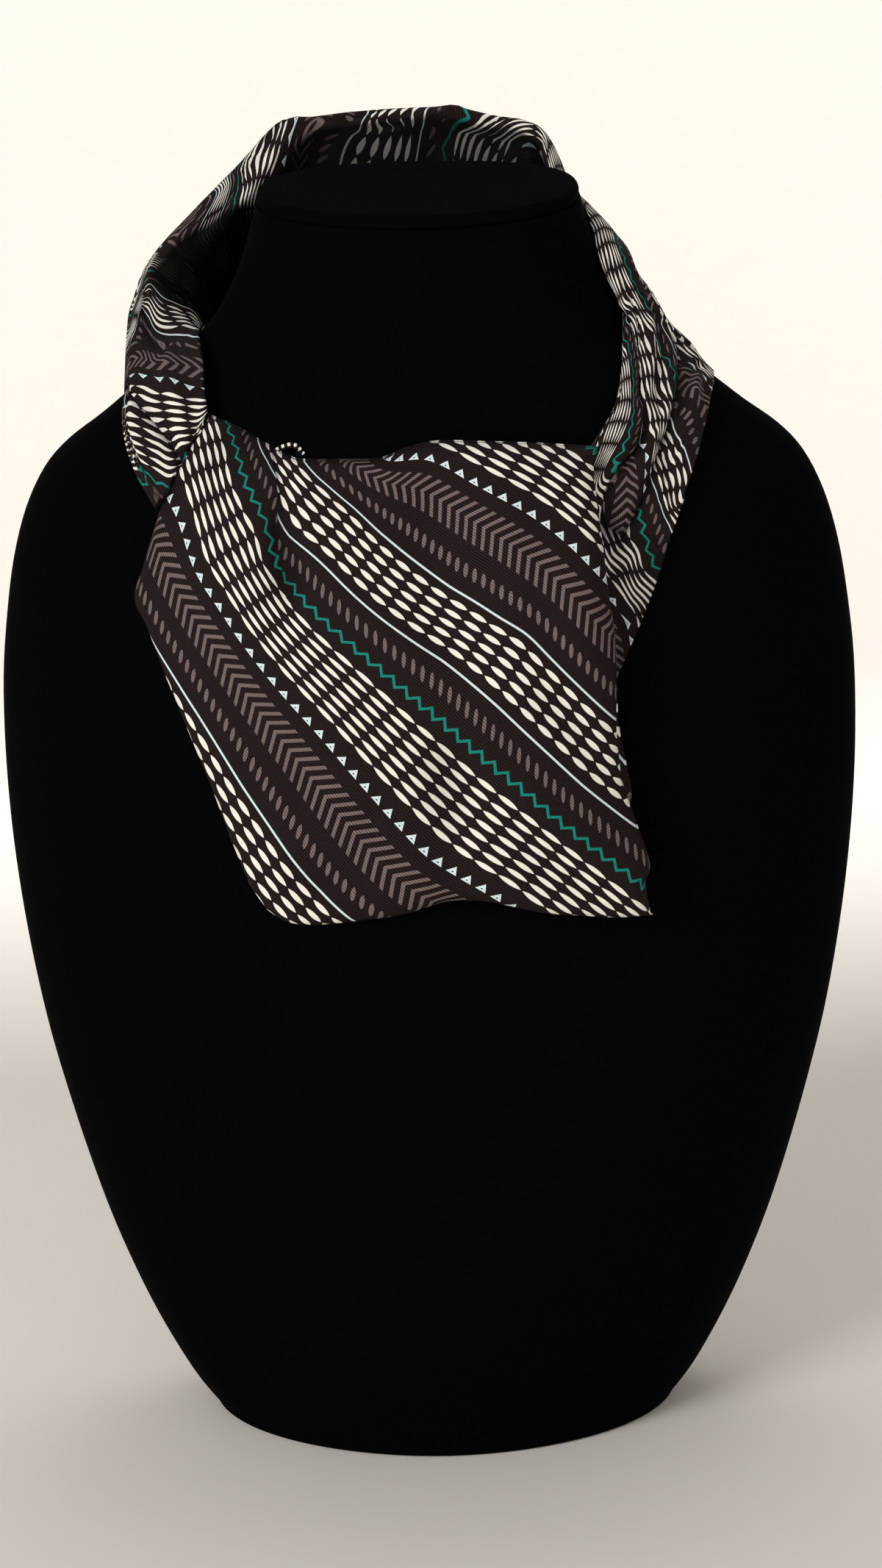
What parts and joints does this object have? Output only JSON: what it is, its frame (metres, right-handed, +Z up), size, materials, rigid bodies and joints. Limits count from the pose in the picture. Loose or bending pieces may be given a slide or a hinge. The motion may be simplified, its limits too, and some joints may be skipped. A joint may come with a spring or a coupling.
{
  "type": "cravat on a limbless velvet display bust",
  "caption": "Printed twill cravat wound once round the neck of a black velvet display bust, its outer end folded forward and hanging as a broad front panel.",
  "frame": {"origin": "under the middle of the whole, on the surface that the bust stands on", "axes": "+Z up, +X to the viewer's right when facing the front, the front faces -Y"},
  "size_m": [0.3504, 0.2026, 0.5465],
  "materials": {
    "cravat_twill": "printed twill, near-black ground with cream, grey-brown, pale blue and teal geometric stripes, soft dull sheen",
    "display_velvet": "short black pile velvet, faint sheen towards the edges"
  },
  "bodies": {
    "root": {"display_bust": "display_velvet", "neck_cap": "display_velvet", "left_stretch": "cravat_twill", "back_stretch": "cravat_twill", "right_stretch": "cravat_twill", "under_end": "cravat_twill", "inner_curl": "cravat_twill", "front_panel": "cravat_twill"}
  },
  "joints": []
}
